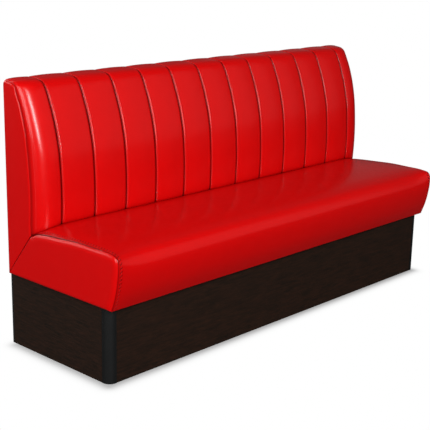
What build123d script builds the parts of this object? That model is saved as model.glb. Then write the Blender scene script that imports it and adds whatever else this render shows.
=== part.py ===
from build123d import *
from math import asin, cos, pi, radians, sin, sqrt
import os

# Restaurant booth bench: a dark plinth, an upholstered seat and a channelled back.
# Millimetres. +Z is up, +X runs along the bench and the sitter faces -Y.
# The origin is on the floor, under the middle of the whole bench.
# A profile point is (reach, height): reach is measured forward from the rear face.

# Whole bench
bench_length = 2000.0
bench_depth = 634.0
bench_height = 1050.0
overrun = 20.0

# Plinth
plinth_height = 290.0
plinth_end_setback = 12.0
plinth_toe_setback = 59.0
plinth_board = 18.0
plinth_rear_board = 10.0
plinth_cleat_width = 40.0
plinth_cleat_height = 20.0
plinth_rib_shares = (-0.165, 0.0, 0.165)
corner_block_side = 40.0
profile_radius = 30.0
profile_wall = 1.5
profile_lip = 6.0
profile_inner_lip = 8.0
profile_skin = 1.2

# Upholstery skins
cover_thickness = 2.0
side_cover_thickness = 3.0
side_cover_round = 2.4
side_round_angles = (0.0, 40.0, 65.0, 90.0)
side_pad_thickness = 7.0
seam_tuck = 2.0
foam_ease = 0.3
seam_gap = 0.5
dust_cover_thickness = 1.0
dust_cover_margin = 4.0
turn_under = 20.0

# Seat cushion
seat_thickness = 226.0
seat_end_fall = 23.0
seat_end_fall_length = 160.0
seat_nose_crown = 3.0
seat_bottom_overhang = 22.5
seat_roll_radius = 66.0
seat_roll_drop = 82.0
seat_seam_radius = 48.0
seat_seam_drop = 50.0
seat_roll_lean = 13.0
seat_seam_lean = 4.0
seat_rear_dip = 24.0
seat_rear_seam_dip = 30.0
seat_crest_share = 0.585
seat_dip_shares = ((0.0, 1.0), (0.09, 0.60), (0.20, 0.35), (0.58, 0.07), (1.0, 0.0))
seat_end_shares = (0.0, 0.05, 0.14, 0.28, 0.48, 0.72, 1.0)
seat_fall_power = 2.4

# Seat frame
rail_thickness = 45.0
rail_height = 99.0
end_rail_thickness = 25.0
cross_rail_shares = (-0.1625, 0.1625)
deck_thickness = 12.0
vent_diameter = 30.0
vent_count = 9
base_foam_thickness = 60.0
front_foam_thickness = 12.0

# Back cushion
channel_count = 13
end_channel_width = 109.0
channel_crown = 9.0
top_scallop = 5.0
channel_shares = ((0.0, 0.0), (0.12, 0.62), (0.5, 1.0), (0.88, 0.62), (1.0, 0.0))
end_pad_shares = (0.0, 0.25, 0.5, 0.72, 0.88, 1.0)
end_seam_shares = (0.55, 1.0)
back_foot_reach = 200.0
back_top_reach = 75.0
back_seam_foot_reach = 150.5
back_seam_top_reach = 70.0
back_end_drop = 25.0
back_rear_round = 16.0
# Each knot of the front line: height share above the seat, reach share from top to foot
groove_shares = ((0.0, 0.98), (0.232, 1.0), (0.496, 0.92), (0.738, 0.672),
                 (0.945, 0.316), (0.979, 0.184), (0.994, 0.0))
seam_shares = ((0.0, 0.963), (0.163, 1.0), (0.522, 0.888), (0.762, 0.615),
               (0.961, 0.149), (0.984, 0.099), (0.992, 0.0))
# How far each knot leans from straight forward towards straight up, in degrees
knot_leans = (0.0, 0.0, 7.0, 17.0, 32.0, 53.0, 78.0)

# Back frame
back_board_thickness = 6.0
back_board_setback = 5.5
rear_board_thickness = 4.0
back_ply = 18.0
back_former_shares = (-0.243, 0.0, 0.243)
back_bottom_rail_height = 98.0
back_middle_rail_height = 70.0
back_middle_rail_share = 0.5

# Fasteners
bolt_diameter = 8.0
bolt_head_across = 13.0
bolt_head_height = 5.3
bolt_nut_height = 6.5
bolt_washer_diameter = 24.0
bolt_washer_height = 2.0
bolt_shares = (-0.39, -0.12, 0.12, 0.39)
bolt_height_share = 0.55
screw_diameter = 5.0
screw_head_diameter = 10.0
screw_head_height = 3.0
screw_length = 50.0
front_screw_shares = (-0.41, -0.25, -0.08, 0.08, 0.25, 0.41)
staple_width = 10.0
staple_wire = 1.0
staple_leg = 8.0
staple_pitch = 80.0
staple_edge = 60.0

# Places that follow from the sizes above
half_length = bench_length / 2
rear_y = bench_depth / 2
plinth_reach = bench_depth - plinth_toe_setback
plinth_half = half_length - plinth_end_setback
cleat_bottom = plinth_height - plinth_cleat_height
profile_centre_x = plinth_half - profile_radius
profile_centre_reach = plinth_reach - profile_radius
underside = plinth_height + dust_cover_thickness
seat_top = underside + seat_thickness
seat_seam_top = seat_top - seat_end_fall
deck_bottom = underside + rail_height
deck_top = deck_bottom + deck_thickness
base_foam_top = deck_top + base_foam_thickness
seat_bottom_reach = plinth_reach + seat_bottom_overhang
rail_front = seat_bottom_reach - front_foam_thickness
groove_top = bench_height - top_scallop
seam_top = bench_height - back_end_drop
side_seam_x = half_length - side_cover_thickness / 3
core_half = half_length - side_cover_thickness - side_pad_thickness
end_groove_x = half_length - end_channel_width
channel_pitch = end_groove_x * 2 / (channel_count - 2)
vent_pitch = bench_length / (vent_count + 1)
seam_foot = back_seam_top_reach + seam_shares[0][1] * (back_seam_foot_reach - back_seam_top_reach)
board_foot = seam_foot - back_board_setback
rear_frame = cover_thickness + rear_board_thickness
plinth_rib_places = [bench_length * share for share in plinth_rib_shares]
cross_rail_places = [bench_length * share for share in cross_rail_shares]
back_former_places = [bench_length * share for share in back_former_shares]
bolt_places = [bench_length * share for share in bolt_shares]
front_screw_places = [bench_length * share for share in front_screw_shares]


def spot(x, point):
    """A profile point as a place in the bench's own axes."""
    return Vector(x, rear_y - point[0], point[1])


def slab(x_low, x_high, reach_low, reach_high, z_low, z_high):
    """A rectangular board between the stated faces."""
    middle = Vector((x_low + x_high) / 2, rear_y - (reach_low + reach_high) / 2, (z_low + z_high) / 2)
    return Pos(middle) * Box(x_high - x_low, reach_high - reach_low, z_high - z_low)


def rod(x, reach, z_low, z_high, diameter):
    """An upright round bar."""
    middle = Vector(x, rear_y - reach, (z_low + z_high) / 2)
    return Pos(middle) * Cylinder(diameter / 2, z_high - z_low)


def mirrored(shape):
    """The same piece at the other end of the bench."""
    return mirror(shape, Plane.YZ)


def blend(low, high, share):
    """A value or a point that lies the stated share of the way from low to high."""
    if isinstance(low, tuple):
        return tuple(blend(a, b, share) for a, b in zip(low, high))
    return low + (high - low) * share


def circle_through(first, second, third):
    """Centre and radius of the circle through three profile points."""
    span_b = (second[0] - first[0], second[1] - first[1])
    span_c = (third[0] - first[0], third[1] - first[1])
    size_b = span_b[0] ** 2 + span_b[1] ** 2
    size_c = span_c[0] ** 2 + span_c[1] ** 2
    twice_area = 2 * (span_b[0] * span_c[1] - span_b[1] * span_c[0])
    across = (span_c[1] * size_b - span_b[1] * size_c) / twice_area
    along = (span_b[0] * size_c - span_c[0] * size_b) / twice_area
    return (first[0] + across, first[1] + along), sqrt(across ** 2 + along ** 2)


def seat_end_rise(x):
    """How far the seat has risen from its side seam to its full crown, from 0 to 1."""
    share = min(1.0, max(0.0, (half_length - abs(x)) / seat_end_fall_length))
    return 1 - (1 - share) ** seat_fall_power


def seat_line(rise, inset):
    """Knots of the seat's outer line from its rear top, over the nose, to its bottom edge."""
    top = blend(seat_seam_top, seat_top, rise) - inset
    dip = blend(seat_rear_seam_dip, seat_rear_dip, rise)
    nose = bench_depth - blend(seat_nose_crown, 0, rise) - inset
    radius = blend(seat_seam_radius, seat_roll_radius, rise) - inset
    lean = radians(blend(seat_seam_lean, seat_roll_lean, rise))
    nose_height = top - blend(seat_seam_drop, seat_roll_drop, rise) + inset
    centre = (nose - radius, nose_height)
    crest = board_foot + seat_crest_share * (bench_depth - board_foot)
    knots = [(blend(board_foot, crest, run), top - dip * fall) for run, fall in seat_dip_shares]
    roll_start = (centre[0] + radius * sin(lean), centre[1] + radius * cos(lean))
    run = roll_start[0] - crest
    fall = top - roll_start[1]
    knots.append((crest + run / 2, top - fall / 4))
    knots.append(roll_start)
    half_turn = (lean + pi / 2) / 2
    knots.append((centre[0] + radius * sin(half_turn), centre[1] + radius * cos(half_turn)))
    knots.append((nose, nose_height))
    bottom = (seat_bottom_reach - inset, underside)
    drop = nose_height - underside
    tuck = nose - bottom[0]
    sweep = (drop ** 2 + tuck ** 2) / (2 * tuck)
    half_drop = drop / 2
    knots.append((nose - sweep + sqrt(sweep ** 2 - half_drop ** 2), nose_height - half_drop))
    knots.append(bottom)
    return knots


def seat_surface(x, reach):
    """Height of the seat's outer surface near its rear, where the back stands on it."""
    knots = seat_line(seat_end_rise(x), 0)
    centre, radius = circle_through(knots[0], knots[1], knots[2])
    return centre[1] + sqrt(radius ** 2 - (reach - centre[0]) ** 2)


def back_knots(roundness, lift, inset):
    """Knots of the back's front line from the seat's height to the top of its forward roll.

    Roundness is 1 on the grooves and 0 on the side seam, and lift is the channel's crown there.
    """
    groove_span = back_foot_reach - back_top_reach
    seam_span = back_seam_foot_reach - back_seam_top_reach
    knots = []
    for groove, seam, lean in zip(groove_shares, seam_shares, knot_leans):
        on_groove = (back_top_reach + groove[1] * groove_span, seat_top + groove[0] * (groove_top - seat_top))
        on_seam = (back_seam_top_reach + seam[1] * seam_span, seat_top + seam[0] * (seam_top - seat_top))
        reach, height = blend(on_seam, on_groove, roundness)
        crown = blend(channel_crown, top_scallop, lean / knot_leans[-1]) * lift
        offset = crown - inset
        knots.append((reach + offset * cos(radians(lean)), height + offset * sin(radians(lean))))
    return knots


def back_line(x, roundness, lift, inset):
    """Knots of the back's outer line from its foot on the seat, over the top, to its rear corner."""
    knots = back_knots(roundness, lift, inset)
    centre, radius = circle_through(knots[0], knots[1], knots[2])
    foot_height = seat_surface(x, knots[0][0]) + seam_gap
    middle_height = (foot_height + knots[2][1]) / 2
    for place, height in enumerate((foot_height, middle_height)):
        knots[place] = (centre[0] + sqrt(radius ** 2 - (height - centre[1]) ** 2), height)
    top = blend(seam_top, groove_top, roundness) + top_scallop * lift - inset
    round_radius = back_rear_round - inset
    corner = (back_rear_round, top - round_radius)
    knots.append((corner[0], top))
    diagonal = round_radius * sin(pi / 4)
    knots.append((corner[0] - diagonal, corner[1] + diagonal))
    knots.append((inset, corner[1]))
    return knots


def arc_edges(x, knots, kinds):
    """Edges through the knots: an arc takes two more knots and a line takes one."""
    edges = []
    place = 0
    for kind in kinds:
        if kind == "arc":
            edges.append(ThreePointArc(*[spot(x, knot) for knot in knots[place:place + 3]]))
            place += 2
        else:
            edges.append(Line(*[spot(x, knot) for knot in knots[place:place + 2]]))
            place += 1
    return edges


SEAT_KINDS = ("arc", "arc", "arc", "arc", "arc")
BACK_KINDS = ("arc", "arc", "arc", "line", "arc")


def ring(x, knots, kinds, return_knots, return_kinds):
    """A closed section: out along one line and back along another."""
    edges = arc_edges(x, knots, kinds)
    edges.append(Line(spot(x, knots[-1]), spot(x, return_knots[0])))
    edges += arc_edges(x, return_knots, return_kinds)
    edges.append(Line(spot(x, return_knots[-1]), spot(x, knots[0])))
    return Wire(edges)


def plate(wire, thickness):
    """A flat sheet cut to a closed outline, thickened along +X."""
    return extrude(Face(wire), amount=thickness, dir=(1, 0, 0))


def loft_between(wires):
    return Solid.make_loft(wires, False)


# Seat cushion and its covers

def seat_skin_section(x):
    """Section of the seat's top cover, with the edge that is turned under the front rail."""
    rise = seat_end_rise(x)
    outer = seat_line(rise, 0)
    inner = seat_line(rise, cover_thickness)
    below = underside - cover_thickness
    outer += [(outer[-1][0], below), (outer[-1][0] - turn_under, below)]
    inner += [(inner[-1][0] - turn_under + cover_thickness, underside)]
    return ring(x, outer, SEAT_KINDS + ("line", "line"), inner[::-1], ("line",) + SEAT_KINDS)


def seat_core_section(x):
    """Section of everything under the seat's top cover, down to the frame's underside."""
    knots = seat_line(seat_end_rise(x), cover_thickness + foam_ease)
    rear = [(board_foot, underside)]
    return ring(x, knots, SEAT_KINDS, rear, ())


def seat_stations(end):
    """Places along the bench where the seat's section changes, from the end inwards."""
    inner = half_length - seat_end_fall_length
    return [blend(end, inner, share) for share in seat_end_shares]


def along_seat(section, end):
    """A seat solid that runs the whole length, falling away at both ends."""
    stations = seat_stations(end)
    right = loft_between([section(x) for x in stations])
    middle = loft_between([section(stations[-1]), section(-stations[-1])])
    return right + middle + mirrored(right)


def make_seat_cover_top():
    return along_seat(seat_skin_section, side_seam_x)


def make_seat_foams():
    core = along_seat(seat_core_section, core_half)
    top_zone = slab(-half_length, half_length, board_foot, bench_depth + overrun, base_foam_top, seat_top + overrun)
    nose_zone = slab(-half_length, half_length, rail_front, bench_depth + overrun, underside, base_foam_top)
    base = slab(-core_half, core_half, board_foot, rail_front, deck_top, base_foam_top)
    return core & top_zone, core & nose_zone, base


def seat_side_outline(x, inset, rear):
    """The seat's side panel: along the seam, down the nose and up the mitre to the back's foot."""
    knots = seat_line(0, inset)
    centre, radius = circle_through(knots[0], knots[1], knots[2])
    start_turn = asin((seam_foot - inset - centre[0]) / radius)
    middle_turn = (start_turn + asin((knots[2][0] - centre[0]) / radius)) / 2
    for place, turn in enumerate((start_turn, middle_turn)):
        knots[place] = (centre[0] + radius * sin(turn), centre[1] + radius * cos(turn))
    return ring(x, knots, SEAT_KINDS, [(rear + seam_gap * 2, underside)], ())


def back_side_outline(x, inset, rear):
    """The back's side panel: up the front seam, over the top, down the rear and along the mitre."""
    knots = back_line(x, 0, 0, inset)
    edges = arc_edges(x, knots, BACK_KINDS)
    ledge = frame_top - foam_ease
    path = [knots[-1], (inset, ledge), (rear, ledge), (rear, underside + seam_gap), knots[0]]
    edges += [Line(spot(x, a), spot(x, b)) for a, b in zip(path, path[1:])]
    return Wire(edges)


def rounded_side_cover(outline):
    """A side panel of cover and wadding, drawn in round its sewn edge."""
    flush = cover_thickness + foam_ease
    sections = [outline(half_length - side_cover_thickness, flush, 0)]
    for angle in side_round_angles:
        x = half_length - side_cover_round * (1 - sin(radians(angle)))
        drawn_in = side_cover_round * (1 - cos(radians(angle)))
        sections.append(outline(x, flush + drawn_in, 0))
    return Solid.make_loft(sections, True)


def make_side_pad(outline):
    rear = cover_thickness + foam_ease
    return plate(outline(core_half, cover_thickness + seam_tuck, rear), side_pad_thickness)


def side_turn_under():
    """The strip of the side cover that is folded under the end of the seat frame."""
    low = underside - cover_thickness
    inner = plinth_half + foam_ease + profile_skin
    return slab(inner, half_length - side_cover_round, overrun, seat_bottom_reach - overrun, low, underside)


# Back cushion and its covers

def skin_ring(x, roundness, lift):
    outer = back_line(x, roundness, lift, 0)
    inner = back_line(x, roundness, lift, cover_thickness)
    outer.append((0, frame_top))
    inner.append((cover_thickness, frame_top))
    kinds = BACK_KINDS + ("line",)
    return ring(x, outer, kinds, inner[::-1], kinds[::-1])


def pad_ring(x, roundness, lift):
    inset = cover_thickness + foam_ease
    knots = back_line(x, roundness, lift, inset)
    knots.append((inset, frame_top))
    board = board_line(0)[:0:-1] + [(board_foot, knots[0][1])]
    return ring(x, knots, BACK_KINDS + ("line",), board, ("arc", "arc", "line"))


def channel_sections(section, left):
    """Sections of one full channel, from the groove on its left to the groove on its right."""
    return [section(left + channel_pitch * run, 1, lift) for run, lift in channel_shares]


def end_channel_sections(section, places):
    """Sections of the right end channel, which rolls back to the side seam."""
    sections = []
    for x in places:
        run = (x - end_groove_x) / (side_seam_x - end_groove_x)
        sections.append(section(x, sqrt(1 - run ** 2), sin(pi * run)))
    return sections


def end_pad_places():
    return [blend(end_groove_x, core_half, share) for share in end_pad_shares]


def end_cover_places():
    return end_pad_places() + [blend(core_half, side_seam_x, share) for share in end_seam_shares]


def board_line(inset):
    """Knots of the support board's front line: foot, bend, then two arcs up to the frame's top."""
    knots = back_knots(0, 0, back_board_setback + inset)[:5]
    return [(board_foot - inset, deck_top)] + knots


frame_top = board_line(0)[-1][1]


def make_channel_pad(number):
    """One stuffed channel, counted from the left end of the bench."""
    if number in (0, channel_count - 1):
        pad = loft_between(end_channel_sections(pad_ring, end_pad_places()))
        return mirrored(pad) if number == 0 else pad
    return loft_between(channel_sections(pad_ring, -end_groove_x + channel_pitch * (number - 1)))


def make_back_cover_front():
    """The sewn face of the back: one skin, creased along every groove."""
    end = loft_between(end_channel_sections(skin_ring, end_cover_places()))
    skin = end + mirrored(end)
    for number in range(channel_count - 2):
        skin += loft_between(channel_sections(skin_ring, -end_groove_x + channel_pitch * number))
    return skin


def make_back_cover_rear():
    side = half_length - side_cover_thickness - foam_ease
    return slab(-side, side, 0, cover_thickness, underside, frame_top - foam_ease)


# Back frame

def make_back_support_board():
    front = board_line(0)
    rear = board_line(back_board_thickness)
    kinds = ("line", "arc", "arc")
    outline = ring(-core_half, front, kinds, rear[::-1], kinds[::-1])
    board = plate(outline, core_half * 2)
    return board - slab(-half_length, half_length, 0, bench_depth, frame_top, bench_height)


def former_blank(x):
    """A plywood upright: straight at the rear, curved to the support board in front."""
    knots = board_line(back_board_thickness)
    front = knots[0][0]
    edges = [Line(spot(x, (front, underside)), spot(x, knots[0]))]
    edges += arc_edges(x, knots, ("line", "arc", "arc"))
    path = [knots[-1], (rear_frame, knots[-1][1]), (rear_frame, underside), (front, underside)]
    edges += [Line(spot(x, a), spot(x, b)) for a, b in zip(path, path[1:])]
    blank = plate(Wire(edges), back_ply)
    return blank - slab(-half_length, half_length, 0, bench_depth, frame_top, bench_height)


def back_top_rail_box():
    front = board_line(back_board_thickness)[-1][0]
    side = core_half - back_ply
    return slab(-side, side, rear_frame, front, frame_top - back_ply, frame_top)


def back_bottom_rail_box():
    side = core_half - back_ply
    return slab(-side, side, board_foot - rail_thickness, board_foot, underside, underside + back_bottom_rail_height)


def back_middle_rail_box():
    side = core_half - back_ply
    middle = blend(underside, frame_top, back_middle_rail_share)
    low = middle - back_middle_rail_height / 2
    return slab(-side, side, rear_frame, rear_frame + back_ply, low, low + back_middle_rail_height)


def make_back_former(place):
    blank = former_blank(place - back_ply / 2)
    return blank - back_top_rail_box() - back_bottom_rail_box() - back_middle_rail_box() - fixing_screws()


def make_back_end_panel():
    return former_blank(core_half - back_ply)


# Seat frame

def make_seat_rails():
    end_low = core_half - end_rail_thickness
    front = slab(-core_half, core_half, rail_front - rail_thickness, rail_front, underside, deck_bottom)
    rear = slab(-core_half, core_half, board_foot, board_foot + rail_thickness, underside, deck_bottom)
    inner_low = board_foot + rail_thickness
    inner_high = rail_front - rail_thickness
    right = slab(end_low, core_half, inner_low, inner_high, underside, deck_bottom)
    front = front - fixing_screws() - make_staples()
    rear = rear - make_joining_bolts()
    return front, rear, right


def make_cross_rail(place):
    low = place - end_rail_thickness / 2
    inner_low = board_foot + rail_thickness
    inner_high = rail_front - rail_thickness
    return slab(low, low + end_rail_thickness, inner_low, inner_high, underside, deck_bottom)


def make_seat_deck():
    deck = slab(-core_half, core_half, board_foot, rail_front, deck_bottom, deck_top)
    middle = (board_foot + rail_front) / 2
    for number in range(vent_count):
        x = vent_pitch * (number - (vent_count - 1) / 2)
        deck -= rod(x, middle, deck_bottom - overrun, deck_top + overrun, vent_diameter)
    return deck


def make_dust_cover():
    side = plinth_half - dust_cover_margin
    sheet = slab(-side, side, dust_cover_margin, plinth_reach - dust_cover_margin, plinth_height, underside)
    return sheet - fixing_screws()


# Plinth

def profile_solid():
    """Rounded corner profile at the right front corner, with a slot for each panel's edge."""
    outer = profile_radius + profile_skin
    base = Pos(profile_centre_x, rear_y - profile_centre_reach)
    arc_zone = Pos(outer / 2, -outer / 2) * Rectangle(outer, outer)
    quarter = (Circle(outer) - Circle(outer - profile_skin - profile_wall)) & arc_zone
    panel_inside = profile_radius - plinth_board
    web_length = outer - panel_inside + profile_wall
    web_middle = outer - web_length / 2
    webs = Pos(profile_wall / 2, -web_middle) * Rectangle(profile_wall, web_length)
    webs += Pos(web_middle, -profile_wall / 2) * Rectangle(web_length, profile_wall)
    lip_middle = profile_radius + profile_skin / 2
    lips = Pos(-profile_lip / 2, -lip_middle) * Rectangle(profile_lip, profile_skin)
    lips += Pos(lip_middle, profile_lip / 2) * Rectangle(profile_skin, profile_lip)
    inner_middle = panel_inside - profile_wall / 2
    inner = Pos(-profile_inner_lip / 2, -inner_middle) * Rectangle(profile_inner_lip, profile_wall)
    inner += Pos(inner_middle, profile_inner_lip / 2) * Rectangle(profile_wall, profile_inner_lip)
    section = base * (quarter + webs + lips + inner)
    return extrude(section, amount=plinth_height)


def make_plinth_panels():
    inner_reach = plinth_reach - plinth_board
    front = slab(-profile_centre_x, profile_centre_x, inner_reach, plinth_reach, 0, plinth_height)
    right = slab(plinth_half - plinth_board, plinth_half, plinth_rear_board, profile_centre_reach, 0, plinth_height)
    rear = slab(-plinth_half, plinth_half, 0, plinth_rear_board, 0, plinth_height)
    return front, right, rear


def make_plinth_cleats():
    side = plinth_half - plinth_board
    front_side = profile_centre_x - profile_inner_lip
    inner_reach = plinth_reach - plinth_board
    front_low = inner_reach - plinth_cleat_width
    front = slab(-front_side, front_side, front_low, inner_reach, cleat_bottom, plinth_height)
    rear_high = plinth_rear_board + plinth_cleat_width
    rear = slab(-side, side, plinth_rear_board, rear_high, cleat_bottom, plinth_height)
    return front - fixing_screws(), rear - fixing_screws()


def make_plinth_rib(place):
    low = place - plinth_board / 2
    inner_reach = plinth_reach - plinth_board
    rib = slab(low, low + plinth_board, plinth_rear_board, inner_reach, 0, plinth_height)
    front_low = inner_reach - plinth_cleat_width
    rear_high = plinth_rear_board + plinth_cleat_width
    rib -= slab(-half_length, half_length, front_low, inner_reach, cleat_bottom, plinth_height)
    return rib - slab(-half_length, half_length, plinth_rear_board, rear_high, cleat_bottom, plinth_height)


def make_corner_blocks():
    """Timber blocks in the plinth's four inner corners, the front ones notched round the profile."""
    side = plinth_half - plinth_board
    inner_reach = plinth_reach - plinth_board
    low = side - corner_block_side
    rear = slab(low, side, plinth_rear_board, plinth_rear_board + corner_block_side, 0, cleat_bottom)
    front = slab(low, side, inner_reach - corner_block_side, inner_reach, 0, cleat_bottom)
    notch_x = profile_centre_x - profile_inner_lip
    notch_reach = profile_centre_reach - profile_inner_lip
    front -= slab(notch_x, half_length, notch_reach, bench_depth, 0, cleat_bottom)
    return Compound([rear, front, mirrored(rear), mirrored(front)])


# Fasteners

def countersunk_screw(x, reach, z_low):
    """A wood screw driven upward, its head's face at the stated height."""
    shank = rod(x, reach, z_low, z_low + screw_length, screw_diameter)
    head_middle = Vector(x, rear_y - reach, z_low + screw_head_height / 2)
    head = Pos(head_middle) * Cone(screw_head_diameter / 2, screw_diameter / 2, screw_head_height)
    return shank + head


def fixing_screws():
    """Screws that hold the seat and back frames down to the plinth's cleats."""
    inner_reach = plinth_reach - plinth_board
    front_reach = (inner_reach + rail_front - rail_thickness) / 2
    rear_reach = plinth_rear_board + plinth_cleat_width / 2
    screws = [countersunk_screw(x, front_reach, cleat_bottom) for x in front_screw_places]
    screws += [countersunk_screw(x, rear_reach, cleat_bottom) for x in back_former_places]
    return Compound(screws)


def joining_bolt(x):
    """A hexagon bolt through both rails, with a washer under its head and under its nut."""
    z = underside + rail_height * bolt_height_share
    head_face = board_foot + rail_thickness
    nut_face = board_foot - rail_thickness
    across = bolt_head_across / 2 / cos(pi / 6)

    def disc(shape, reach_low, reach_high):
        place = Plane(origin=Vector(x, rear_y - reach_high, z), x_dir=(1, 0, 0), z_dir=(0, 1, 0))
        return extrude(place * shape, amount=reach_high - reach_low)

    washer_outer = head_face + bolt_washer_height
    nut_low = nut_face - bolt_washer_height - bolt_nut_height
    bolt = disc(Circle(bolt_diameter / 2), nut_low, washer_outer)
    bolt += disc(RegularPolygon(across, 6), washer_outer, washer_outer + bolt_head_height)
    bolt += disc(Circle(bolt_washer_diameter / 2), head_face, washer_outer)
    bolt += disc(Circle(bolt_washer_diameter / 2), nut_face - bolt_washer_height, nut_face)
    bolt += disc(RegularPolygon(across, 6), nut_low, nut_low + bolt_nut_height)
    return bolt


def make_joining_bolts():
    return Compound([joining_bolt(x) for x in bolt_places])


def staple(x, reach, z_face):
    """A staple driven up into a board's underside."""
    half = staple_width / 2
    wire = staple_wire / 2
    crown = slab(x - half, x + half, reach - wire, reach + wire, z_face - staple_wire, z_face)
    left = slab(x - half, x - half + staple_wire, reach - wire, reach + wire, z_face, z_face + staple_leg)
    right = slab(x + half - staple_wire, x + half, reach - wire, reach + wire, z_face, z_face + staple_leg)
    return crown + left + right


def make_staples():
    """Staples along the edge of the top cover that is turned under the front rail."""
    z_face = underside - cover_thickness
    reach = seat_bottom_reach - turn_under + cover_thickness * 2
    count = int((core_half - staple_edge) * 2 / staple_pitch)
    return Compound([staple(staple_pitch * (n - count / 2), reach, z_face) for n in range(count + 1)])


def build_parts():
    parts = {}
    front, right, rear = make_plinth_panels()
    parts["plinth_front_panel"] = front
    parts["plinth_rear_panel"] = rear
    parts["plinth_left_panel"] = mirrored(right)
    parts["plinth_right_panel"] = right
    parts["plinth_left_corner_profile"] = mirrored(profile_solid())
    parts["plinth_right_corner_profile"] = profile_solid()
    parts["plinth_front_cleat"], parts["plinth_rear_cleat"] = make_plinth_cleats()
    for number, place in enumerate(plinth_rib_places, 1):
        parts[f"plinth_rib_{number}"] = make_plinth_rib(place)
    parts["plinth_corner_blocks"] = make_corner_blocks()
    parts["dust_cover"] = make_dust_cover()

    front, rear, right = make_seat_rails()
    parts["seat_front_rail"] = front
    parts["seat_rear_rail"] = rear
    parts["seat_left_rail"] = mirrored(right)
    parts["seat_right_rail"] = right
    for number, place in enumerate(cross_rail_places, 1):
        parts[f"seat_cross_rail_{number}"] = make_cross_rail(place)
    parts["seat_deck"] = make_seat_deck()
    top, nose, base = make_seat_foams()
    parts["seat_foam_base"] = base
    parts["seat_foam_top"] = top
    parts["seat_foam_nose"] = nose
    parts["seat_cover_top"] = make_seat_cover_top() - make_staples()
    side = rounded_side_cover(seat_side_outline) + side_turn_under()
    parts["seat_cover_left_side"] = mirrored(side)
    parts["seat_cover_right_side"] = side
    pad = make_side_pad(seat_side_outline)
    parts["seat_left_side_pad"] = mirrored(pad)
    parts["seat_right_side_pad"] = pad

    parts["back_left_end_panel"] = mirrored(make_back_end_panel())
    parts["back_right_end_panel"] = make_back_end_panel()
    for number, place in enumerate(back_former_places, 1):
        parts[f"back_former_{number}"] = make_back_former(place)
    parts["back_top_rail"] = back_top_rail_box()
    parts["back_middle_rail"] = back_middle_rail_box()
    parts["back_bottom_rail"] = back_bottom_rail_box() - make_joining_bolts()
    parts["back_support_board"] = make_back_support_board()
    parts["back_rear_board"] = slab(-core_half, core_half, cover_thickness, rear_frame, underside, frame_top)
    for number in range(channel_count):
        parts[f"back_channel_pad_{number + 1:02d}"] = make_channel_pad(number)
    parts["back_cover_front"] = make_back_cover_front()
    side = rounded_side_cover(back_side_outline)
    parts["back_cover_left_side"] = mirrored(side)
    parts["back_cover_right_side"] = side
    pad = make_side_pad(back_side_outline)
    parts["back_left_side_pad"] = mirrored(pad)
    parts["back_right_side_pad"] = pad
    parts["back_cover_rear"] = make_back_cover_rear()

    parts["joining_bolts"] = make_joining_bolts()
    parts["fixing_screws"] = fixing_screws()
    parts["cover_staples"] = make_staples()
    return parts


os.makedirs("parts", exist_ok=True)
for name, shape in build_parts().items():
    export_step(shape, f"parts/{name}.step")
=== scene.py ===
from math import atan2, cos, pi, radians, sin, sqrt, tau

import bmesh
import bpy
import numpy as np
from mathutils import Matrix, Vector


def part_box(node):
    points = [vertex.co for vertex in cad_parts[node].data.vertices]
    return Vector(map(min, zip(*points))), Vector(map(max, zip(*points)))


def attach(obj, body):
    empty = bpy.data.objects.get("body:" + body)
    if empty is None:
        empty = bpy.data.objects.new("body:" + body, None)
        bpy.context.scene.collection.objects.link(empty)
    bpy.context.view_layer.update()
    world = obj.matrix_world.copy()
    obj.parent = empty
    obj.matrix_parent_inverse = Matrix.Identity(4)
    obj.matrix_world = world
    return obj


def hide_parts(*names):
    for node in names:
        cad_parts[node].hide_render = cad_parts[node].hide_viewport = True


# Looks of a restaurant booth bench: red leatherette on a dark plinth. Metres, in the bench's own frame.
# A profile point is (reach, height): reach is measured forward from the bench's rear face.

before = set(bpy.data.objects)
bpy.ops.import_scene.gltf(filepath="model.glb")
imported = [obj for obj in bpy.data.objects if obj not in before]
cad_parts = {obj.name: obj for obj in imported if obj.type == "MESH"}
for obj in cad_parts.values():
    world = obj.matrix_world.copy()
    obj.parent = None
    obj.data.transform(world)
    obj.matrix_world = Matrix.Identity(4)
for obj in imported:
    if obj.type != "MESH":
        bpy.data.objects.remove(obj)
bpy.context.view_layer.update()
mm = 0.001

# Hidden sides clear or lap their neighbours by this much
fit_gap = 1 * mm

# Sizes read from the frame
half_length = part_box("seat_cover_right_side")[1].x
rear_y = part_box("back_cover_rear")[1].y
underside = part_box("dust_cover")[1].z
seat_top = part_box("seat_cover_top")[1].z
nose_reach = rear_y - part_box("seat_cover_top")[0].y
back_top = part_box("back_cover_front")[1].z
frame_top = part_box("back_top_rail")[1].z
deck_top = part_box("seat_deck")[1].z
rail_front = rear_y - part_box("seat_front_rail")[0].y
board_foot = rear_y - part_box("seat_deck")[1].y
core_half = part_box("seat_deck")[1].x

# Seat cushion
seat_end_fall = 13 * mm
seat_fall_length = 160 * mm
seat_fall_power = 2.4
seat_bottom_reach = nose_reach - 36.5 * mm
seat_roll_radius = 66 * mm
seat_roll_drop = 82 * mm
seat_roll_lean = 13.0
seat_seam_radius = 32 * mm
seat_seam_drop = 35 * mm
seat_seam_lean = 4.0
seat_rear_dip = 24 * mm
seat_rear_seam_dip = 36 * mm
seat_crest_share = 0.585
roll_steps = (0, 0.2, 0.4, 0.6, 0.8, 1)
front_steps = (0.33, 0.67, 1)
turn_under = 20 * mm
cover_thickness = 2 * mm
seat_sag = 0.5 * mm
seat_sag_waves = (9, 13)
seat_sag_shift = 1.3
seat_sag_start = (20 * mm, 100 * mm)

# Shares of the run forward from the rear edge, each with the dip's share in the middle and at the side seams
seat_dip_shares = (
    (0.0, 1.0, 1.0), (0.09, 0.60, 0.70), (0.20, 0.35, 0.50), (0.58, 0.07, 0.24), (1.0, 0.0, 0.02),
)

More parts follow.
